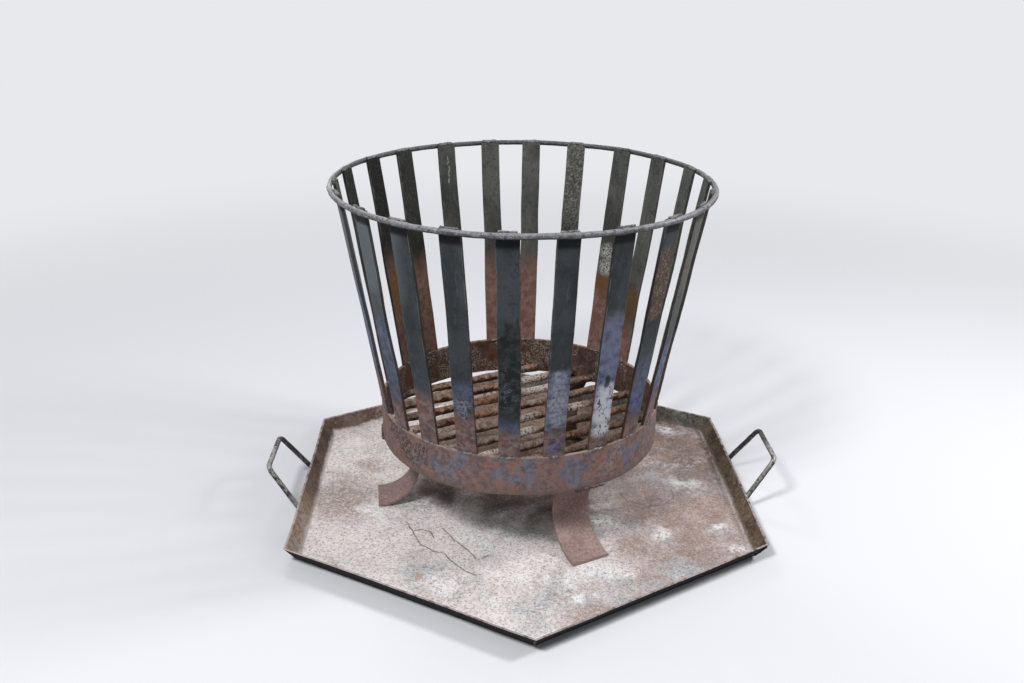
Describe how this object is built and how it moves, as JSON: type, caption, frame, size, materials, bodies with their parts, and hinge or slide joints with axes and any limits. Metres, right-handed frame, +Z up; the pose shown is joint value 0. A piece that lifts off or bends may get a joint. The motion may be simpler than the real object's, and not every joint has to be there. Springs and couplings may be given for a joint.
{
  "type": "fire basket",
  "caption": "Round fire basket of flat steel slats flaring up from a band to a round-bar ring, on three bent legs, standing on a hexagonal ash tray with two handles.",
  "frame": {"origin": "middle of the underside of the tray, on the ground", "axes": "+Z up; +X to the right-hand handle, seen from the front; +Y to the back, through two corners of the tray"},
  "size_m": [0.8018, 0.816, 0.5233],
  "materials": {
    "ring_steel": "fire-darkened bare steel bar, scuffed lighter on the outside",
    "slat_steel": "fire-scaled dark bare steel, rusted towards the foot",
    "band_rust": "rusted bare steel with bluish scale, matte",
    "grate_ash": "rusted bare steel dusted with ash, matte",
    "leg_rust": "even fine reddish-brown rust, matte",
    "tray_ash": "rusted sheet coated with pale dried ash, matte",
    "handle_steel": "dark steel bar, worn bright on the outside",
    "weld": "light grey weld beads"
  },
  "bodies": {
    "tray": {"tray_pan": "tray_ash", "tray_handle_right": "handle_steel", "tray_handle_left": "handle_steel", "tray_corner_welds": "weld", "handle_welds": "weld"},
    "basket": {"top_ring": "ring_steel", "base_band": "band_rust", "slat_01": "slat_steel", "slat_02": "slat_steel", "slat_03": "slat_steel", "slat_04": "slat_steel", "slat_05": "slat_steel", "slat_06": "slat_steel", "slat_07": "slat_steel", "slat_08": "slat_steel", "slat_09": "slat_steel", "slat_10": "slat_steel", "slat_11": "slat_steel", "slat_12": "slat_steel", "slat_13": "slat_steel", "slat_14": "slat_steel", "slat_15": "slat_steel", "slat_16": "slat_steel", "slat_17": "slat_steel", "slat_18": "slat_steel", "slat_19": "slat_steel", "slat_20": "slat_steel", "slat_21": "slat_steel", "slat_22": "slat_steel", "grate_bar_01": "grate_ash", "grate_bar_02": "grate_ash", "grate_bar_03": "grate_ash", "grate_bar_04": "grate_ash", "grate_bar_05": "grate_ash", "grate_bar_06": "grate_ash", "grate_bar_07": "grate_ash", "grate_bar_08": "grate_ash", "grate_bar_09": "grate_ash", "leg_left": "leg_rust", "leg_front": "leg_rust", "leg_back": "leg_rust", "ring_welds": "weld", "slat_foot_welds": "weld", "grate_welds": "weld", "leg_welds": "weld"}
  },
  "joints": [
    {"name": "basket_lift", "type": "slide", "parent": "tray", "child": "basket", "axis": [0, 0, 1], "range_m": [0, 0.15]}
  ]
}
